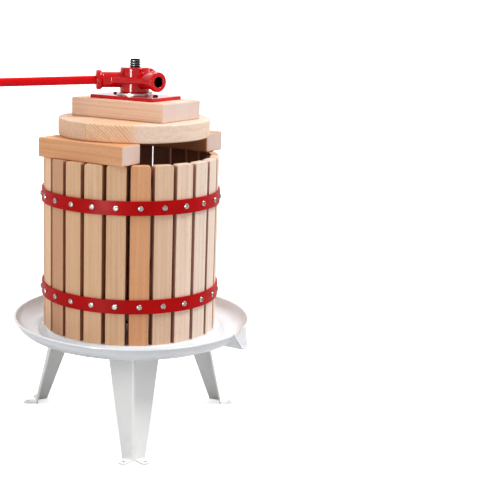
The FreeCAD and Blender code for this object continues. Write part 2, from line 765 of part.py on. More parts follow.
def make_hoop(label, height):
    """Flat steel ring round the staves, drilled for one screw in each stave."""
    body = new_body(label)
    middle = f"({BASKET_FLOOR} + {height})"
    section = new_sketch(body, "Section", "XZ_Plane")
    inner = "Sizes.hoop_inner_radius"
    add_outline(section, box_corners(
        inner, f"{inner} + Sizes.hoop_thickness",
        f"{middle} - Sizes.hoop_width / 2", f"{middle} + Sizes.hoop_width / 2"))
    add_turned(body, "Ring", section, "V_Axis")
    hole = new_sketch(body, "ScrewHole", "YZ_Plane", f"{inner} + Sizes.hoop_thickness * 2")
    add_circle(hole, "Sizes.hoop_hole_diameter / 2", "0", middle)
    drilled = add_feature(body, "Pocket", "ScrewHolePocket", hole)
    drilled.setExpression("Length", "Sizes.hoop_thickness * 3")
    add_round_pattern(body, "ScrewHoles", drilled, "Sizes.stave_count")
    body.Placement = turned(size("stave_first_azimuth"), offset=size("basket_offset"))
    return body


def make_basket():
    """Staves, hoops and hoop screws."""
    parts = []
    for number, azimuth in enumerate(stave_azimuths(), start=1):
        parts.append(make_stave(f"stave_{number:02d}", azimuth))
    screw = make_cross_screw("hoop_screw_pattern", "Sizes.screw_shank", "Sizes.screw_head",
                             "Sizes.screw_head_height", "Sizes.screw_depth")
    seat = size("hoop_inner_radius") + size("hoop_thickness")
    for name in ("lower", "upper"):
        height = size("floor_height") + size(f"hoop_{name}")
        parts.append(make_hoop(f"hoop_{name}", f"Sizes.hoop_{name}"))
        places = []
        for azimuth in stave_azimuths():
            outward = FreeCAD.Rotation(VERTICAL, polar(1.0, azimuth))
            middle = FreeCAD.Vector(size("basket_offset"), 0, 0)
            places.append(FreeCAD.Placement(middle + polar(seat, azimuth, height), outward))
        parts.append(make_group(f"hoop_screws_{name}", screw, places))
    return parts


# ---------------------------------------------------------------- build: pressing stack

def make_wood(label, corners, low, height, holes=(), offset=0.0):
    """Squared timber with eased edges. Holes are (radius, x, y) expressions."""
    body = new_body(label)
    section = new_sketch(body, "Section", "XY_Plane", low)
    add_outline(section, corners)
    add_pad(body, "Timber", section, height)
    add_edge_finish(body, "Fillet", "EasedEdges", "Sizes.wood_edge", lambda edge: True)
    if holes:
        bores = new_sketch(body, "Bores", "XY_Plane", low)
        for radius, x, y in holes:
            add_circle(bores, radius, x, y)
        add_through_pocket(body, "BoresPocket", bores)
    body.Placement = turned(size("stack_turn"), offset=offset)
    return body


def make_disc_half(label, side):
    """Half of the round pressing disc, with half of the spindle's hole."""
    body = new_body(label)
    low = BEAM_TOP
    round_sketch = new_sketch(body, "Round", "XY_Plane", low)
    add_circle(round_sketch, "Sizes.disc_radius")
    add_pad(body, "Disc", round_sketch, "Sizes.disc_thickness")
    radius = size("disc_radius")
    heights = (value_of(BEAM_TOP), value_of(DISC_TOP))

    def rim_edge(edge):
        return any(ring_edge(radius, height)(edge) for height in heights)
    add_edge_finish(body, "Fillet", "RimEdges", "Sizes.disc_edge", rim_edge)
    away = new_sketch(body, "OtherHalf", "XY_Plane", low)
    seam = f"{side} * Sizes.disc_seam / 2"
    far = f"{-side} * Sizes.disc_radius * 2"
    left, right = (far, seam) if side > 0 else (seam, far)
    add_outline(away, box_corners(left, right, "-Sizes.disc_radius * 2", "Sizes.disc_radius * 2"))
    add_through_pocket(body, "OtherHalfPocket", away)
    bore = new_sketch(body, "Bore", "XY_Plane", low)
    add_circle(bore, "Sizes.wood_bore / 2")
    add_through_pocket(body, "BorePocket", bore)
    body.Placement = turned(size("stack_turn"))
    return body


def plate_screw_places():
    """Middles of the plate's two screws, before the stack's turn."""
    return [(side * size("plate_screw_spacing") / 2, 0.0) for side in (-1, 1)]


def make_stack():
    """Beams, disc halves, block, plate and washer."""
    parts = []
    half = "Sizes.beam_length / 2"
    for label, side in (("beam_front", -1), ("beam_back", 1)):
        faces = [f"{side} * (Sizes.beam_outer - Sizes.beam_width)", f"{side} * Sizes.beam_outer"]
        low, high = faces if side > 0 else reversed(faces)
        corners = box_corners(f"Sizes.beam_shift - {half}", f"Sizes.beam_shift + {half}", low, high)
        parts.append(make_wood(label, corners, BASKET_TOP, "Sizes.beam_height"))
    parts.append(make_disc_half("disc_half_right", 1))
    parts.append(make_disc_half("disc_half_left", -1))

    long_half = "Sizes.block_length / 2"
    short_half = "Sizes.block_width / 2"
    corners = box_corners(f"-{long_half}", long_half, f"-{short_half}", short_half)
    parts.append(make_wood("pressure_block", corners, DISC_TOP, "Sizes.block_height", block_holes(),
                           size("block_offset")))
    parts.append(make_plate())
    screw = make_cross_screw("plate_screw_pattern", "Sizes.plate_screw_shank", "Sizes.plate_screw_head",
                             "Sizes.plate_screw_head_height", "Sizes.plate_screw_length")
    spin = turned(size("stack_turn"), offset=size("block_offset"))
    seat = value_of(PLATE_TOP)
    places = []
    for x, y in plate_screw_places():
        places.append(FreeCAD.Placement(spin.multVec(FreeCAD.Vector(x, y, seat)), spin.Rotation))
    parts.append(make_group("plate_screws", screw, places))
    bore, rim, edge = "Sizes.washer_bore / 2", "Sizes.washer_diameter / 2", "Sizes.washer_edge"
    parts.append(make_turned("thrust_washer", [
        (bore, PLATE_TOP), (f"{rim} - {edge}", PLATE_TOP), (rim, f"{PLATE_TOP} + {edge}"),
        (rim, f"{WASHER_TOP} - {edge}"), (f"{rim} - {edge}", WASHER_TOP), (bore, WASHER_TOP),
    ]))
    return parts


def block_holes():
    """Spindle bore and screw holes of the block."""
    holes = [("Sizes.wood_bore / 2", "0", "0")]
    for x, y in plate_screw_places():
        holes.append(("Sizes.plate_screw_shank / 2", str(x), str(y)))
    return holes


def make_plate():
    """Red steel plate that spreads the nut's thrust over the block."""
    body = new_body("pressure_plate")
    section = new_sketch(body, "Section", "XY_Plane", BLOCK_TOP)
    long_half = "Sizes.plate_length / 2"
    short_half = "Sizes.plate_width / 2"
    add_outline(section, box_corners(f"-{long_half}", long_half, f"-{short_half}", short_half))
    add_pad(body, "Plate", section, "Sizes.plate_thickness")

    def upright(edge):
        return edge.Length > size("plate_thickness") - 0.1 and all_points(
            edge, lambda p: math.hypot(p.x, p.y) - math.hypot(size("plate_length"), size("plate_width")) / 2)
    add_edge_finish(body, "Fillet", "Corners", "Sizes.plate_corner", upright)
    top_face = value_of(PLATE_TOP)
    add_edge_finish(body, "Fillet", "TopEdges", "Sizes.plate_edge",
                    lambda edge: all_points(edge, lambda p: p.z - top_face))
    bores = new_sketch(body, "Bores", "XY_Plane", BLOCK_TOP)
    add_circle(bores, "Sizes.plate_bore / 2")
    for x, y in plate_screw_places():
        add_circle(bores, "Sizes.plate_screw_hole / 2", str(x), str(y))
    add_through_pocket(body, "BoresPocket", bores)
    body.Placement = turned(size("stack_turn"), offset=size("block_offset"))
    return body


# ---------------------------------------------------------------- build: nut and bar

def make_press_nut():
    """Cast nut: a hub with three bar sockets joined by a web."""
    body = new_body("press_nut")
    hub = new_sketch(body, "Hub", "XY_Plane", WASHER_TOP)
    add_circle(hub, "Sizes.nut_hub / 2")
    add_pad(body, "HubPad", hub, "Sizes.nut_height")
    for height in (WASHER_TOP, f"{WASHER_TOP} + Sizes.nut_height"):
        add_edge_finish(body, "Fillet", "HubEdge", "Sizes.nut_edge",
                        ring_edge(size("nut_hub") / 2, value_of(height)))

    arm = new_sketch(body, "Arm", "XY_Plane", NUT_MIDDLE)
    reach = "Sizes.socket_reach"
    collar = "Sizes.socket_collar / 2"
    thin = "Sizes.socket_body / 2"
    collar_start = f"{reach} - Sizes.socket_collar_length"
    bevel = "Sizes.nut_edge"
    add_outline(arm, [
        ("0", "0"), (reach, "0"), (reach, f"{collar} - {bevel}"), (f"{reach} - {bevel}", collar),
        (collar_start, collar), (f"{collar_start} - Sizes.socket_cone", thin), ("0", thin),
    ])
    arm_turned = add_turned(body, "ArmTurned", arm, "H_Axis")
    add_round_pattern(body, "Arms", arm_turned, "3")

    web = new_sketch(body, "Web", "XY_Plane", NUT_MIDDLE)
    corners = []
    for k in range(3):
        for side in (-1, 1):
            tip_x = "Sizes.web_reach"
            tip_y = f"({side} * Sizes.web_half_width)"
            corners.append((f"{tip_x} * cos({120 * k}) - {tip_y} * sin({120 * k})",
                            f"{tip_x} * sin({120 * k}) + {tip_y} * cos({120 * k})"))
    add_outline(web, corners)
    add_pad(body, "WebPad", web, "Sizes.web_thickness", both_ways=True)

    bore = new_sketch(body, "Bore", "XY_Plane", WASHER_TOP)
    add_circle(bore, "Sizes.spindle_diameter / 2 + Sizes.nut_bore_play")
    add_through_pocket(body, "BorePocket", bore)
    socket = new_sketch(body, "Socket", "XY_Plane", NUT_MIDDLE)
    deep = "Sizes.socket_bottom"
    bore_half = "Sizes.socket_bore / 2"
    add_outline(socket, [
        (deep, "0"), (f"{reach} + 1", "0"), (f"{reach} + 1", f"{bore_half} + {bevel} + 1"),
        (f"{reach} - {bevel}", bore_half), (deep, bore_half),
    ])
    socket_bored = add_turned(body, "SocketBored", socket, "H_Axis", "Groove")
    add_round_pattern(body, "Sockets", socket_bored, "3")
    body.Placement = turned(size("nut_azimuth"))
    return body


def make_bar():
    """Round steel bar, loose in one socket, so that its outer end droops."""
    radius = "Sizes.bar_diameter / 2"
    chamfer = "Sizes.bar_chamfer"
    bar = make_turned("handle_bar", [
        ("0", "0"), (f"{radius} - {chamfer}", "0"), (radius, chamfer),
        (radius, f"Sizes.bar_length - {chamfer}"), (f"{radius} - {chamfer}", "Sizes.bar_length"),
        ("0", "Sizes.bar_length"),
    ])
    droop = math.radians(size("bar_droop"))
    along = polar(math.cos(droop), size("nut_azimuth"), -math.sin(droop))
    pivot = polar(size("bar_pivot"), size("nut_azimuth"), value_of(NUT_MIDDLE))
    start = pivot - along * ((size("bar_pivot") - size("bar_inner_end")) / math.cos(droop))
    bar.Placement = FreeCAD.Placement(start, FreeCAD.Rotation(VERTICAL, along))
    return bar


def check_and_write(parts):
    """Stop on any failed object or bad shape, then write one STEP file for each sub-part."""
    doc.recompute()
    for item in doc.Objects:
        if "Invalid" in item.State or "Error" in item.State:
            raise RuntimeError(f"{item.Label} failed: {item.State}")
    for part in parts:
        if part.Shape.isNull() or not part.Shape.isValid() or not part.Shape.Solids:
            raise RuntimeError(f"{part.Label} has no valid solid")
    os.makedirs("parts", exist_ok=True)
    for part in parts:
        part.Shape.exportStep(os.path.join("parts", f"{part.Label}.step"))


check_and_write(make_stand() + make_basket() + make_stack() + [make_press_nut(), make_bar()])
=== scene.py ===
"""Looks for the fruit press: materials, the spindle's thread, the cast nut, floor, light and camera.

Everything is in metres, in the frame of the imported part: +Z up along the spindle, -Y the front.
"""
import json
import math
import random

import bmesh
import bpy
from mathutils import Matrix, Vector


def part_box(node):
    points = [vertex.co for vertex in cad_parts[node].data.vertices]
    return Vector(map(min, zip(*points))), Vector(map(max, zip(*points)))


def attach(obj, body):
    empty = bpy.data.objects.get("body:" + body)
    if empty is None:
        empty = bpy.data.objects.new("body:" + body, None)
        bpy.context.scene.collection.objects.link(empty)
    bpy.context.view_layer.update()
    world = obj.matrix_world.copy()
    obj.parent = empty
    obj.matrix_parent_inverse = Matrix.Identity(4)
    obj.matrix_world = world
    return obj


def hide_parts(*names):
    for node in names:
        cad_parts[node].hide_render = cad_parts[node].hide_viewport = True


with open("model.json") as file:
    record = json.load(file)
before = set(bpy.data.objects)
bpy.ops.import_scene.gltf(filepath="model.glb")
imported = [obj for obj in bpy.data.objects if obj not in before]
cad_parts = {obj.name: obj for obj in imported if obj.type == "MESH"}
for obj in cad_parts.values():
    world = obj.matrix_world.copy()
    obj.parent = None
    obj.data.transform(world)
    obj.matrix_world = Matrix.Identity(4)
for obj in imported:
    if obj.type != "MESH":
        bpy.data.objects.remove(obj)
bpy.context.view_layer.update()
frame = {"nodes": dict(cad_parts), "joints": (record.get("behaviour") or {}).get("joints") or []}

NODES = frame["nodes"]
MM = 0.001


# ------------------------------------------------------------------ small helpers

def colour(red, green, blue):
    """Linear colour from an sRGB one given as 0 to 255."""
    def linear(channel):
        share = channel / 255
        return share / 12.92 if share <= 0.04045 else ((share + 0.055) / 1.055) ** 2.4
    return (linear(red), linear(green), linear(blue), 1.0)


class Shader:
    """Builds one node material around a Principled BSDF."""

    def __init__(self, name):
        self.material = bpy.data.materials.new(name)
        self.material.use_nodes = True
        tree = self.material.node_tree
        self.nodes = tree.nodes
        self.links = tree.links
        self.surface = self.nodes["Principled BSDF"]
        self.place = self.add("ShaderNodeTexCoord").outputs["Object"]

    def feed(self, socket, value):
        """Link a socket, or set its value."""
        if isinstance(value, bpy.types.NodeSocket):
            self.links.new(value, socket)
        else:
            socket.default_value = value

    def add(self, kind, inputs=(), **settings):
        """New node with settings, and inputs as (socket name or number, value) pairs."""
        node = self.nodes.new(kind)
        for key, value in settings.items():
            setattr(node, key, value)
        for socket, value in inputs:
            self.feed(node.inputs[socket], value)
        return node

    def sum(self, operation, first, second=0.0, third=0.0):
        """One arithmetic step."""
        values = [(0, first), (1, second), (2, third)]
        return self.add("ShaderNodeMath", values, operation=operation).outputs[0]

    def distance(self, first, second):
        """Length of the flat vector with these two parts."""
        squares = [self.sum("MULTIPLY", part, part) for part in (first, second)]
        return self.sum("SQRT", self.sum("ADD", *squares))

    def span(self, value, low, high, new_low=0.0, new_high=1.0, smooth=False):
        """Value moved from one range to another, and held inside it."""
        node = self.add("ShaderNodeMapRange", [
            ("Value", value), ("From Min", low), ("From Max", high),
            ("To Min", new_low), ("To Max", new_high)])
        node.interpolation_type = "SMOOTHSTEP" if smooth else "LINEAR"
        return node.outputs["Result"]

    def blend(self, share, first, second, kind="MIX"):
        """Two colours mixed."""
        node = self.add("ShaderNodeMix", data_type="RGBA", blend_type=kind)
        self.feed(node.inputs["Factor"], share)
        self.feed(node.inputs[6], first)
        self.feed(node.inputs[7], second)
        return node.outputs[2]

    def split(self, vector):
        """The three parts of a vector."""
        return self.add("ShaderNodeSeparateXYZ", [(0, vector)]).outputs

    def join(self, x, y, z):
        """A vector from three parts."""
        return self.add("ShaderNodeCombineXYZ", [(0, x), (1, y), (2, z)]).outputs[0]

    def scaled(self, vector, factors, shift=(0, 0, 0)):
        """Vector scaled, then shifted."""
        values = [("Vector", vector), ("Scale", factors), ("Location", shift)]
        return self.add("ShaderNodeMapping", values).outputs[0]

    def spun(self, vector, angle):
        """Vector turned about the vertical axis."""
        node = self.add("ShaderNodeVectorRotate", [("Vector", vector), ("Angle", angle)])
        node.rotation_type = "Z_AXIS"
        return node.outputs[0]

    def noise(self, vector, scale=1.0, detail=2.0, roughness=0.5):
        """Noise between 0 and 1."""
        values = [("Vector", vector), ("Scale", scale), ("Detail", detail), ("Roughness", roughness)]
        return self.add("ShaderNodeTexNoise", values).outputs[0]

    def ramp(self, value, stops):
        """Colour ramp through (place, colour) stops."""
        node = self.add("ShaderNodeValToRGB", [("Fac", value)])
        elements = node.color_ramp.elements
        while len(elements) < len(stops):
            elements.new(0.5)
        for element, (position, shade) in zip(elements, stops):
            element.position = position
            element.color = shade
        return node.outputs[0]

    def bump(self, height, strength, depth, below=None):
        """Normal from a height."""
        node = self.add("ShaderNodeBump", [
            ("Height", height), ("Strength", strength), ("Distance", depth)])
        if below is not None:
            self.feed(node.inputs["Normal"], below)
        return node.outputs[0]

    def finish(self, base, rough, normal=None, **extra):
        """Connect the surface and return the material."""
        self.feed(self.surface.inputs["Base Color"], base)
        self.feed(self.surface.inputs["Roughness"], rough)
        if normal is not None:
            self.feed(self.surface.inputs["Normal"], normal)
        for key, value in extra.items():
            self.feed(self.surface.inputs[key.replace("_", " ")], value)
        return self.material


def paint(piece, material):
    """Give a piece one material."""
    piece.data.materials.clear()
    piece.data.materials.append(material)


# ------------------------------------------------------------------ wood

BEECH = {
    "brown": colour(216, 174, 142),
    "tan": colour(232, 196, 161),
    "amber": colour(232, 179, 137),
    "honey": colour(250, 214, 180),
    "rose": colour(234, 206, 181),
    "pink": colour(247, 217, 195),
    "pale": colour(249, 229, 213),
    "white": colour(249, 234, 222),
}
LATE_WOOD = (0.86, 0.78, 0.71, 1)
FIBRE_SHADE = (0.82, 0.72, 0.63, 1)
FLECK_SHADE = (0.70, 0.55, 0.44, 1)
DARK_RINGS = (0.42, 0.27, 0.19, 1)
# Darkening for the slats: juice stain with painted shade on their inside, and painted shade in the gaps
# between them.
STAIN_AND_PAINTED_SHADE = (0.60, 0.46, 0.43, 1)
# Painted light: the paler colour given to the end faces of the beams and the block.
END_FACE_PAINTED_LIGHT = colour(230, 214, 209)
GLUE_LINE = colour(150, 104, 72)

# How dark the late wood is across one growth ring, from its start to its end.
RING_SHAPE = [(0.0, 0.0), (0.62, 0.12), (0.90, 0.9), (0.965, 0.35), (1.0, 0.0)]


def grain(shader, across, along, tone, pith, ring, contrast, seed, ring_shade=FIBRE_SHADE):
    """Beech grain as a solid texture. Returns its colour and its height.

    across is the pair of coordinates over the end grain, along the one down the grain. Growth
    rings are cylinders about a pith line; the fibres, flecks and slow colour drift run with it.
    """
    light = BEECH[tone]
    dark = shader.blend(1.0, light, LATE_WOOD, "MULTIPLY")
    shift = (seed * 0.37, seed * 0.11, seed * 0.23)
    solid = shader.join(across[0], across[1], along)
    wander = shader.noise(shader.scaled(solid, (14, 14, 2.2), shift), detail=2.0)
    drift = shader.sum("MULTIPLY_ADD", wander, 9 * MM, -4.5 * MM)
    first = shader.sum("SUBTRACT", across[0], pith[0])
    second = shader.sum("SUBTRACT", across[1], pith[1])
    reach = shader.distance(first, second)
    turns = shader.sum("DIVIDE", shader.sum("ADD", reach, drift), ring)
    phase = shader.sum("FRACT", turns)
    late = shader.ramp(phase, [(place, (level, level, level, 1)) for place, level in RING_SHAPE])
    year = shader.noise(shader.join(shader.sum("FLOOR", turns), seed * 1.7, 0.0), scale=2.3, detail=0.0)
    ring_share = shader.sum("MULTIPLY", late, shader.span(year, 0.3, 0.7, 0.35 * contrast, contrast))

    fibre = shader.noise(shader.scaled(solid, (1500, 1500, 22), shift), detail=3.0, roughness=0.62)
    streak = shader.noise(shader.scaled(solid, (210, 210, 3.2), shift), detail=3.0, roughness=0.6)
    fleck = shader.noise(shader.scaled(solid, (1100, 420, 190), shift), detail=1.0)
    slow = shader.noise(shader.scaled(solid, (9, 9, 3.5), shift), detail=1.0)

    body = shader.blend(shader.span(streak, 0.3, 0.72), light, dark)
    body = shader.blend(ring_share, body, shader.blend(1.0, dark, ring_shade, "MULTIPLY"))
    body = shader.blend(shader.span(fibre, 0.42, 0.75, 0.0, 0.30), body,
                        shader.blend(1.0, dark, FIBRE_SHADE, "MULTIPLY"))
    body = shader.blend(shader.span(fleck, 0.66, 0.74, 0.0, 0.38), body,
                        shader.blend(1.0, dark, FLECK_SHADE, "MULTIPLY"))
    body = shader.blend(shader.span(slow, 0.35, 0.7, 0.0, 0.35), body,
                        shader.blend(1.0, light, (1.0, 0.93, 0.88, 1), "MULTIPLY"))
    height = shader.sum("ADD", shader.sum("MULTIPLY", fibre, 0.6), shader.sum("MULTIPLY", late, 0.25))
    return body, height


def finish_wood(shader, body, height):
    """Planed, unvarnished surface over a grain."""
    hand = shader.noise(shader.place, scale=26, detail=2.0)
    rough = shader.span(hand, 0.3, 0.7, 0.50, 0.66)
    normal = shader.bump(height, 0.28, 0.35 * MM)
    return shader.finish(body, rough, normal, Specular_IOR_Level=0.32)


def boards(shader, position, joints, layers):
    """Boards glued side by side: one (colour, height) layer for each, and a fine dark glue line."""
    body, height = layers[0]
    for joint, (next_body, next_height) in zip(joints, layers[1:]):
        past = shader.sum("GREATER_THAN", position, joint)
        body = shader.blend(past, body, next_body)
        height = shader.add("ShaderNodeMix", [("Factor", past), (2, height), (3, next_height)]).outputs[0]
    for joint in joints:
        gap = shader.sum("ABSOLUTE", shader.sum("SUBTRACT", position, joint))
        line = shader.span(gap, 0.15 * MM, 0.5 * MM, 0.3, 0.0)
        body = shader.blend(line, body, GLUE_LINE)
    return body, height


def facing(shader, direction, low, high):
    """Share of a surface that faces along a direction or against it."""
    normal = shader.add("ShaderNodeNewGeometry").outputs["True Normal"]
    node = shader.add("ShaderNodeVectorMath", [(0, normal), (1, direction)], operation="DOT_PRODUCT")
    return shader.span(shader.sum("ABSOLUTE", node.outputs["Value"]), low, high)


def stave_material(name, azimuth, radius, tone, seed, generator):
    """Upright slat: the grain runs up; its inside is darkened as juice stain with painted shade, and its
    sides as painted shade in the gaps between the slats.
    """
    shader = Shader(name)
    from_middle = shader.scaled(shader.place, (1, 1, 1), (-BASKET_MIDDLE.x, -BASKET_MIDDLE.y, 0))
    local = shader.split(shader.spun(from_middle, -azimuth))
    pith_away = generator.uniform(40, 110) * MM
    pith_side = generator.uniform(-70, 70) * MM
    ring = generator.uniform(2.2, 4.2) * MM
    contrast = generator.uniform(0.25, 0.7)
    body, height = grain(shader, (local[0], local[1]), local[2], tone,
                         (radius - pith_away, pith_side), ring, contrast, seed)
    # Juice stain with painted shade: the inside faces are darkened.
    inside = shader.span(local[0], radius - 7 * MM, radius - 4 * MM, 1.0, 0.0)
    # Painted shade: the side faces in the gaps between the slats are darkened.
    painted_gap_shade = facing(shader, (-math.sin(azimuth), math.cos(azimuth), 0), 0.75, 0.95)
    stain_and_shade = shader.sum("MAXIMUM", inside, painted_gap_shade)
    body = shader.blend(stain_and_shade, body, shader.blend(1.0, body, STAIN_AND_PAINTED_SHADE, "MULTIPLY"))
    return finish_wood(shader, body, height)


def painted_light_ends(shader, body, along_grain):
    """End faces are painted paler than the sides: painted light, standing for the glare on the lit ends.
    along_grain is the grain's direction.
    """
    end_light_share = facing(shader, along_grain, 0.80, 0.95)
    return shader.blend(shader.sum("MULTIPLY", end_light_share, 0.75), body, END_FACE_PAINTED_LIGHT)


def stack_axes(shader, turn):
    """Coordinates along the block, across it and up."""
    return shader.split(shader.spun(shader.place, -turn))


# ------------------------------------------------------------------ enamel, paint and metal

def enamel_material(name, rim_height):
    """Glossy white enamel with faint orange peel, a few pinholes and a worn rim."""
    shader = Shader(name)
    drift = shader.noise(shader.place, scale=7, detail=3.0)
    base = shader.blend(shader.span(drift, 0.35, 0.7), colour(233, 235, 239), colour(226, 229, 232))
    grime = shader.noise(shader.place, scale=38, detail=4.0, roughness=0.6)
    base = shader.blend(shader.span(grime, 0.58, 0.8, 0.0, 0.22), base, colour(204, 203, 200))
    speck = shader.noise(shader.place, scale=900, detail=1.0)
    base = shader.blend(shader.span(speck, 0.79, 0.82, 0.0, 0.5), base, colour(120, 116, 110))
    height = shader.split(shader.place)[2]
    at_rim = shader.span(height, rim_height - 1.2 * MM, rim_height - 0.2 * MM)
    chips = shader.noise(shader.place, scale=160, detail=3.0, roughness=0.7)
    worn = shader.sum("MULTIPLY", at_rim, shader.span(chips, 0.60, 0.66))
    base = shader.blend(shader.sum("MULTIPLY", worn, 0.55), base, colour(150, 152, 156))
    smear = shader.noise(shader.scaled(shader.place, (30, 30, 9)), detail=3.0)
    rough = shader.span(smear, 0.3, 0.75, 0.10, 0.24)
    peel = shader.noise(shader.place, scale=420, detail=2.0)
    swell = shader.noise(shader.place, scale=26, detail=1.0)
    normal = shader.bump(peel, 0.10, 0.12 * MM, shader.bump(swell, 0.25, 1.2 * MM))
    return shader.finish(base, rough, normal, Coat_Weight=0.5, Coat_Roughness=0.06)


def powder_material(name, tint, dust):
    """Satin powder coat with fine texture and dust low down."""
    shader = Shader(name)
    drift = shader.noise(shader.place, scale=11, detail=3.0)
    shaded = shader.blend(1.0, tint, (0.93, 0.93, 0.93, 1), "MULTIPLY")
    base = shader.blend(shader.span(drift, 0.3, 0.75), tint, shaded)
    low = shader.span(shader.split(shader.place)[2], 0.0, 60 * MM, 1.0, 0.0, smooth=True)
    patch = shader.noise(shader.place, scale=70, detail=4.0, roughness=0.65)
    base = shader.blend(shader.sum("MULTIPLY", low, shader.span(patch, 0.4, 0.8, 0.0, dust)), base,
                        colour(176, 168, 156))
    grit = shader.noise(shader.place, scale=1700, detail=2.0)
    rough = shader.span(patch, 0.3, 0.7, 0.34, 0.48)
    normal = shader.bump(grit, 0.16, 0.10 * MM, shader.bump(drift, 0.2, 0.8 * MM))
    return shader.finish(base, rough, normal, Coat_Weight=0.15, Coat_Roughness=0.3)


def red_material(name, bright, deep, rough_low, gloss, lumps, bore_shade_where=None):
    """Red paint over steel or casting: slow colour drift, orange peel and rubbed spots.

    gloss is the clear coat's weight. The last argument is a function that gives the share inside the bores:
    left unpainted and darkened there as painted shade.
    """
    shader = Shader(name)
    drift = shader.noise(shader.place, scale=24, detail=3.0)
    base = shader.blend(shader.span(drift, 0.3, 0.72), bright, deep)
    rub = shader.noise(shader.place, scale=210, detail=4.0, roughness=0.7)
    base = shader.blend(shader.span(rub, 0.70, 0.76, 0.0, 0.35), base, colour(96, 8, 10))
    smear = shader.noise(shader.scaled(shader.place, (60, 60, 60)), detail=3.0, roughness=0.6)
    rough = shader.span(smear, 0.3, 0.75, rough_low, rough_low + 0.14)
    if bore_shade_where:
        bore_shade = bore_shade_where(shader)
        # Bare metal with painted shade: the socket bores are darkened.
        base = shader.blend(bore_shade, base, colour(46, 22, 20))
        gloss = shader.sum("MULTIPLY", shader.sum("SUBTRACT", 1.0, bore_shade), gloss)
    peel = shader.noise(shader.place, scale=520, detail=2.0)
    cast = shader.noise(shader.place, scale=130, detail=3.0)
    normal = shader.bump(peel, 0.12, 0.12 * MM, shader.bump(cast, lumps, 0.5 * MM))
    return shader.finish(base, rough, normal, Specular_IOR_Level=0.15,
                         Coat_Weight=gloss, Coat_Roughness=0.05, Coat_IOR=1.6)


SOCKET_RADIUS = 8.75 * MM


def inside_sockets(shader):
    """Share of a point of the nut that lies inside one of its three bar sockets."""
    low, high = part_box("press_nut")
    axis = [joint["axis"] for joint in frame["joints"] if joint["name"] == "bar_slide"][0]
    first = math.atan2(axis[1], axis[0])
    inside = 0.0
    for turn in range(3):
        along, across, up = shader.split(shader.spun(shader.place, -first - turn * 2 * math.pi / 3))
        above = shader.sum("SUBTRACT", up, (low.z + high.z) / 2)
        away = shader.distance(above, across)
        bored = shader.span(away, SOCKET_RADIUS + 0.2 * MM, SOCKET_RADIUS + 0.8 * MM, 1.0, 0.0)
        outward = shader.span(along, 15 * MM, 17 * MM)
        inside = shader.sum("MAXIMUM", inside, shader.sum("MULTIPLY", bored, outward))
    return inside


BRUSH_MARKS = (500, 500, 60)


def steel_material(name, bright, dull, rough_low, rough_high):
    """Plated or bare steel with fine brush marks and dull patches."""
    shader = Shader(name)
    patch = shader.noise(shader.place, scale=230, detail=3.0, roughness=0.6)
    base = shader.blend(shader.span(patch, 0.35, 0.7), bright, dull)
    marks = shader.noise(shader.scaled(shader.place, BRUSH_MARKS), scale=4.0, detail=3.0)
    rough = shader.span(marks, 0.3, 0.7, rough_low, rough_high)
    normal = shader.bump(marks, 0.2, 0.08 * MM)
    return shader.finish(base, rough, normal, Metallic=1.0)


def thread_material(name, crest):
    """Dark oiled thread whose crests are rubbed bright."""
    shader = Shader(name)
    x, y, z = shader.split(shader.place)
    reach = shader.distance(x, y)
    worn = shader.span(reach, crest - 0.5 * MM, crest - 0.1 * MM)
    patch = shader.noise(shader.place, scale=190, detail=4.0, roughness=0.65)
    rubbed = shader.sum("MULTIPLY", worn, shader.span(patch, 0.3, 0.6, 0.35, 1.0))
    base = shader.blend(rubbed, colour(38, 38, 41), colour(150, 151, 153))
    rough = shader.span(rubbed, 0.0, 1.0, 0.42, 0.26)
    marks = shader.noise(shader.scaled(shader.place, (90, 90, 1400)), detail=3.0)
    normal = shader.bump(marks, 0.25, 0.08 * MM)
    return shader.finish(base, rough, normal, Metallic=0.9)


def rubber_material(name):
    """Black rubber with a faint bloom."""
    shader = Shader(name)
    bloom = shader.noise(shader.place, scale=90, detail=4.0)
    base = shader.blend(shader.span(bloom, 0.4, 0.75), colour(28, 28, 29), colour(58, 57, 55))
    normal = shader.bump(shader.noise(shader.place, scale=1400), 0.2, 0.1 * MM)
    return shader.finish(base, 0.72, normal)


# ------------------------------------------------------------------ pieces made here

def new_piece(name, mesh, body, node):
    """Piece that stands for one CAD node and rides on its body."""
    piece = bpy.data.objects.new(name, mesh)
    bpy.context.scene.collection.objects.link(piece)
    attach(piece, body)
    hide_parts(node)
    return piece


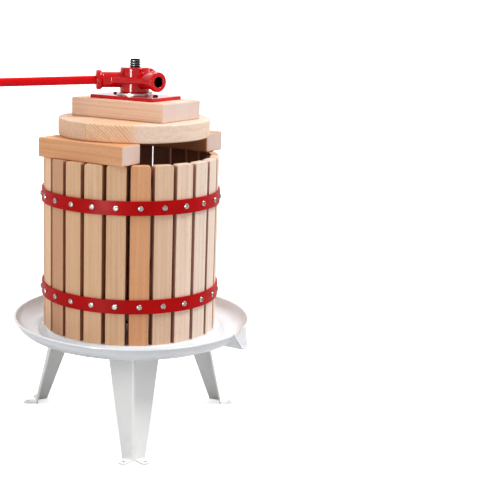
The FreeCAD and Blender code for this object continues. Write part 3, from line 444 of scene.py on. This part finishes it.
def threaded_rod(lead, depth, chamfer, columns):
    """Trapezoidal thread the whole length of the spindle, as one closed mesh."""
    low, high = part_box("spindle")
    crest = (high.x - low.x) / 2
    root = crest - depth
    profile = [(0.0, root), (0.30, root), (0.47, crest), (0.83, crest)]
    mesh_maker = bmesh.new()
    first_turn = math.floor(low.z / lead) - 1
    last_turn = math.ceil(high.z / lead) + 1
    levels = [(turn + share, radius) for turn in range(first_turn, last_turn) for share, radius in profile]
    per_turn = len(profile)

    def vertex(column, level):
        turn, radius = level
        angle = 2 * math.pi * column / columns
        raised = lead * (turn + column / columns)
        height = min(max(raised, low.z), high.z)
        from_end = min(height - low.z, high.z - height)
        radius = min(radius, crest - chamfer + from_end)
        return mesh_maker.verts.new((radius * math.cos(angle), radius * math.sin(angle), height))

    grid = [[vertex(column, level) for level in levels] for column in range(columns)]
    for column in range(columns):
        wraps = column == columns - 1
        beside = grid[0] if wraps else grid[column + 1]
        step = per_turn if wraps else 0
        for row in range(len(levels) - 1 - step):
            corners = (grid[column][row], beside[row + step], beside[row + 1 + step], grid[column][row + 1])
            mesh_maker.faces.new(corners)
    bmesh.ops.remove_doubles(mesh_maker, verts=mesh_maker.verts, dist=1e-6)
    edges = [edge for edge in mesh_maker.edges if edge.is_boundary]
    bmesh.ops.contextual_create(mesh_maker, geom=edges)
    bmesh.ops.holes_fill(mesh_maker, edges=[edge for edge in mesh_maker.edges if edge.is_boundary])
    bmesh.ops.recalc_face_normals(mesh_maker, faces=mesh_maker.faces)
    mesh = bpy.data.meshes.new("spindle_thread")
    mesh_maker.to_mesh(mesh)
    mesh_maker.free()
    return mesh, crest


def cast_copy(node, name, voxel, rounds):
    """Copy of a CAD node with its edges and inside corners rounded, as a casting's are."""
    piece = bpy.data.objects.new(name, NODES[node].data.copy())
    bpy.context.scene.collection.objects.link(piece)
    remesh = piece.modifiers.new("Skin", "REMESH")
    remesh.mode = "VOXEL"
    remesh.voxel_size = voxel
    soften = piece.modifiers.new("Soften", "SMOOTH")
    soften.factor = 0.5
    soften.iterations = rounds
    bpy.context.view_layer.update()
    shape = piece.evaluated_get(bpy.context.evaluated_depsgraph_get())
    mesh = bpy.data.meshes.new_from_object(shape)
    bpy.data.objects.remove(piece)
    mesh.name = name
    for polygon in mesh.polygons:
        polygon.use_smooth = True
    return mesh


# ------------------------------------------------------------------ dress the press

STACK_AXIS = [joint["axis"] for joint in frame["joints"] if joint["name"] == "right_disc_slide"][0]
STACK_TURN = math.atan2(STACK_AXIS[1], STACK_AXIS[0])
STAVES = sorted(name for name in NODES if name.startswith("stave_"))
# Tone of each slat by its number. The pale and white slats on the right front are partly painted light from
# the key lamp; the rest vary as wood does.
STAVE_TONES_WITH_PAINTED_LIGHT = [
    "tan", "amber", "rose", "pale", "white", "white",
    "pale", "tan", "pink", "honey", "tan", "pale",
    "pink", "amber", "tan", "pale", "pink", "tan",
    "honey", "pink", "honey", "brown", "tan", "tan",
]
BASKET_MIDDLE = sum(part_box("hoop_lower"), Vector()) / 2

# Glued joints and the change from ringed to plain wood, measured from the spindle's axis.
BLOCK_JOINTS = [-17 * MM, 21 * MM]
LEFT_DISC_JOINT = -78 * MM
RINGED_TO = 78 * MM
PLAIN_FROM = 112 * MM

THREAD_LEAD = 4 * MM
THREAD_DEPTH = 2.2 * MM
THREAD_COLUMNS = 36
SPINDLE_CHAMFER = 2 * MM
CASTING_VOXEL = 0.75 * MM
CASTING_ROUNDS = 8


def dress_staves():
    """Each slat has its own tone and its own grain."""
    generator = random.Random(18)
    for number, node in enumerate(STAVES):
        from_middle = sum(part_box(node), Vector()) / 2 - BASKET_MIDDLE
        azimuth = math.atan2(from_middle.y, from_middle.x)
        radius = math.hypot(from_middle.x, from_middle.y)
        tone = STAVE_TONES_WITH_PAINTED_LIGHT[number]
        material = stave_material(f"beech_{node}", azimuth, radius, tone, 3.1 * number, generator)
        paint(NODES[node], material)


def dress_beams():
    """Squared beams with the grain along them."""
    for node, seed in (("beam_front", 41.0), ("beam_back", 47.5)):
        shader = Shader(f"beech_{node}")
        along, across, up = stack_axes(shader, STACK_TURN)
        low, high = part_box(node)
        body, height = grain(shader, (across, up), along, "amber",
                             (90 * MM, low.z - 60 * MM), 5.0 * MM, 0.35, seed)
        body = painted_light_ends(shader, body, STACK_AXIS)
        paint(NODES[node], finish_wood(shader, body, height))


def dress_disc():
    """Boards glued side by side, with the grain along the seam and end grain round the rim."""
    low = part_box("disc_half_right")[0].z
    right = Shader("beech_disc_half_right")
    along, across, up = stack_axes(right, STACK_TURN)
    ringed, height = grain(right, (along, up), across, "honey",
                           (-70 * MM, low - 95 * MM), 4.4 * MM, 1.0, 11.0, DARK_RINGS)
    plain, _ = grain(right, (along, up), across, "pale", (240 * MM, low - 20 * MM), 3.4 * MM, 0.2, 15.0)
    wander = right.noise(right.place, scale=18, detail=2.0)
    edge = right.sum("MULTIPLY_ADD", wander, 30 * MM, along)
    fade = right.span(edge, RINGED_TO, PLAIN_FROM, smooth=True)
    body = right.blend(fade, ringed, plain)
    paint(NODES["disc_half_right"], finish_wood(right, body, height))

    left = Shader("beech_disc_half_left")
    along, across, up = stack_axes(left, STACK_TURN)
    outer = grain(left, (along, up), across, "rose", (-260 * MM, low + 60 * MM), 4.0 * MM, 0.25, 21.0)
    inner = grain(left, (along, up), across, "rose", (-30 * MM, low + 200 * MM), 4.6 * MM, 0.3, 27.0)
    body, height = boards(left, along, [LEFT_DISC_JOINT], [outer, inner])
    paint(NODES["disc_half_left"], finish_wood(left, body, height))


def dress_block():
    """Three boards glued side by side, with the grain along the block."""
    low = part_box("pressure_block")[0].z
    shader = Shader("beech_pressure_block")
    along, across, up = stack_axes(shader, STACK_TURN)
    front = grain(shader, (across, up), along, "pink", (-150 * MM, low - 40 * MM), 4.2 * MM, 0.3, 31.0)
    middle = grain(shader, (across, up), along, "pale", (30 * MM, low + 120 * MM), 3.6 * MM, 0.3, 34.0)
    back = grain(shader, (across, up), along, "pink", (140 * MM, low - 60 * MM), 4.4 * MM, 0.3, 38.0)
    body, height = boards(shader, across, BLOCK_JOINTS, [front, middle, back])
    body = painted_light_ends(shader, body, STACK_AXIS)
    paint(NODES["pressure_block"], finish_wood(shader, body, height))


def dress_metal():
    """Enamel, paint and steel."""
    tray_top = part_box("juice_tray")[1].z
    paint(NODES["juice_tray"], enamel_material("white_enamel", tray_top))
    legs = powder_material("white_powder_coat", colour(242, 242, 241), 0.25)
    for node in ("leg_front", "leg_left", "leg_right", "base_dish"):
        paint(NODES[node], legs)
    hoops = red_material("red_hoop_paint", colour(192, 9, 12), colour(174, 5, 9), 0.3, 0.0, 0.25)
    for node in ("hoop_lower", "hoop_upper"):
        paint(NODES[node], hoops)
    plate = red_material("red_plate_paint", colour(216, 14, 24), colour(196, 8, 18), 0.14, 0.45, 0.1)
    paint(NODES["pressure_plate"], plate)
    bar = red_material("red_bar_paint", colour(230, 15, 27), colour(212, 10, 20), 0.2, 0.1, 0.2)
    paint(NODES["handle_bar"], bar)
    zinc = steel_material("zinc_plate", colour(214, 214, 210), colour(178, 178, 172), 0.18, 0.36)
    for node in ("hoop_screws_lower", "hoop_screws_upper", "leg_bolts", "leg_nuts",
                 "spindle_clamp_nut", "spindle_base_nut"):
        paint(NODES[node], zinc)
    washer = steel_material("washer_steel", colour(225, 223, 219), colour(196, 193, 188), 0.22, 0.4)
    paint(NODES["thrust_washer"], washer)
    black = steel_material("black_screws", colour(52, 51, 50), colour(34, 33, 33), 0.3, 0.5)
    paint(NODES["plate_screws"], black)
    paint(NODES["tray_seal"], rubber_material("black_rubber"))


def make_spindle():
    """The spindle's real thread, in place of the CAD's plain rod."""
    mesh, crest = threaded_rod(THREAD_LEAD, THREAD_DEPTH, SPINDLE_CHAMFER, THREAD_COLUMNS)
    piece = new_piece("spindle_thread", mesh, "stand", "spindle")
    paint(piece, thread_material("oiled_thread", crest))


def make_nut():
    """The nut's casting, in place of the CAD's sharp-cornered one."""
    mesh = cast_copy("press_nut", "press_nut_casting", CASTING_VOXEL, CASTING_ROUNDS)
    piece = new_piece("press_nut_casting", mesh, "nut", "press_nut")
    paint(piece, red_material("red_casting_enamel", colour(215, 7, 21), colour(196, 4, 14),
                              0.12, 0.7, 0.4, inside_sockets))


dress_staves()
dress_beams()
dress_disc()
dress_block()
dress_metal()
make_spindle()
make_nut()

def plain(box):
    """Box as plain lists of numbers."""
    return [[float(value) for value in corner] for corner in box]
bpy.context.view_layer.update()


# ------------------------------------------------------------------ studio

MIDDLE = (0, 0, 0.4)
KEY_STRENGTH = 1.75
KEY_SPREAD = 20
STRIP_POWER = 36
FILL_POWER = 11
FLOOR_BOUNCE = 0.6
FLOOR_GLOW = 0.4


def aim(item, place, target):
    """Put a lamp at a place, facing a target."""
    item.location = place
    item.rotation_euler = (Vector(target) - Vector(place)).to_track_quat("-Z", "Y").to_euler()


def add_area(name, place, target, width, height, power):
    """Rectangular softbox."""
    lamp = bpy.data.lights.new(name, "AREA")
    lamp.shape = "RECTANGLE"
    lamp.size = width
    lamp.size_y = height
    lamp.energy = power
    item = bpy.data.objects.new(name, lamp)
    bpy.context.scene.collection.objects.link(item)
    aim(item, place, target)
    return item


def around(azimuth, elevation, distance):
    """Place at an azimuth and elevation in degrees, seen from the middle of the press."""
    turn, rise = math.radians(azimuth), math.radians(elevation)
    reach = distance * math.cos(rise)
    return (MIDDLE[0] + reach * math.cos(turn), MIDDLE[1] + reach * math.sin(turn),
            MIDDLE[2] + distance * math.sin(rise))


def make_studio():
    """Pale floor, white surround, a key high on the right, and a strip and a fill on the front left."""
    bpy.ops.mesh.primitive_plane_add(size=40, location=(0, 0, 0))
    floor = bpy.context.object
    floor.name = "studio_floor"
    shader = Shader("studio_floor_white")
    drift = shader.noise(shader.place, scale=0.8)
    base = shader.blend(drift, (0.95, 0.95, 0.95, 1), (0.93, 0.93, 0.93, 1))
    direct = shader.add("ShaderNodeLightPath").outputs["Is Camera Ray"]
    base = shader.blend(direct, (FLOOR_BOUNCE, FLOOR_BOUNCE, FLOOR_BOUNCE, 1), base)
    glow = shader.sum("MULTIPLY", direct, FLOOR_GLOW)
    paint(floor, shader.finish(base, 0.9, Emission_Color=(1, 1, 1, 1), Emission_Strength=glow))

    world = bpy.data.worlds.new("studio_surround")
    bpy.context.scene.world = world
    world.use_nodes = True
    nodes, links = world.node_tree.nodes, world.node_tree.links
    background = nodes["Background"]
    background.inputs["Color"].default_value = (1.0, 1.0, 1.0, 1)
    direction = nodes.new("ShaderNodeSeparateXYZ")
    links.new(nodes.new("ShaderNodeTexCoord").outputs["Generated"], direction.inputs[0])
    backdrop = nodes.new("ShaderNodeMapRange")
    links.new(direction.outputs["Y"], backdrop.inputs["Value"])
    backdrop.inputs["From Min"].default_value = 0.1
    backdrop.inputs["From Max"].default_value = 0.8
    backdrop.inputs["To Min"].default_value = 0.42
    backdrop.inputs["To Max"].default_value = 1.1
    level = nodes.new("ShaderNodeMath")
    level.operation = "MAXIMUM"
    links.new(nodes.new("ShaderNodeLightPath").outputs["Is Camera Ray"], level.inputs[0])
    links.new(backdrop.outputs["Result"], level.inputs[1])
    links.new(level.outputs[0], background.inputs["Strength"])

    lamp = bpy.data.lights.new("key", "SUN")
    lamp.energy = KEY_STRENGTH
    lamp.angle = math.radians(KEY_SPREAD)
    key = bpy.data.objects.new("key", lamp)
    bpy.context.scene.collection.objects.link(key)
    aim(key, around(-12, 60, 3.0), MIDDLE)
    strip = add_area("strip_left", around(-124, 5, 2.2), (0, 0, 0.5), 0.5, 1.6, STRIP_POWER)
    strip.visible_diffuse = False
    fill = add_area("fill_left", around(-135, 38, 2.4), MIDDLE, 1.2, 1.2, FILL_POWER)
    fill.visible_glossy = False


CAMERA_DISTANCE = 2.036
CAMERA_HEIGHT = 0.7826
CAMERA_TURN = -2.1
CAMERA_PITCH = 11.446
CAMERA_ROLL = 0.808
CAMERA_LENS = 82.43
CAMERA_SHIFT = (0.2344, -0.0509)
FILM_WIDTH = 36


def make_camera():
    """Camera in front of the press and a little above it."""
    lens = bpy.data.cameras.new("camera")
    lens.lens = CAMERA_LENS
    lens.sensor_width = FILM_WIDTH
    lens.shift_x, lens.shift_y = CAMERA_SHIFT
    camera = bpy.data.objects.new("camera", lens)
    bpy.context.scene.collection.objects.link(camera)
    spin = Matrix.Rotation(math.radians(CAMERA_TURN), 4, "Z")
    back = Matrix.Translation((0, -CAMERA_DISTANCE, CAMERA_HEIGHT))
    tilt = Matrix.Rotation(math.radians(90 - CAMERA_PITCH), 4, "X")
    roll = Matrix.Rotation(math.radians(CAMERA_ROLL), 4, "Z")
    camera.matrix_world = spin @ back @ tilt @ roll
    bpy.context.scene.camera = camera
    view = bpy.context.scene.view_settings
    view.view_transform = "Standard"
    view.look = "Medium High Contrast"


make_studio()
make_camera()
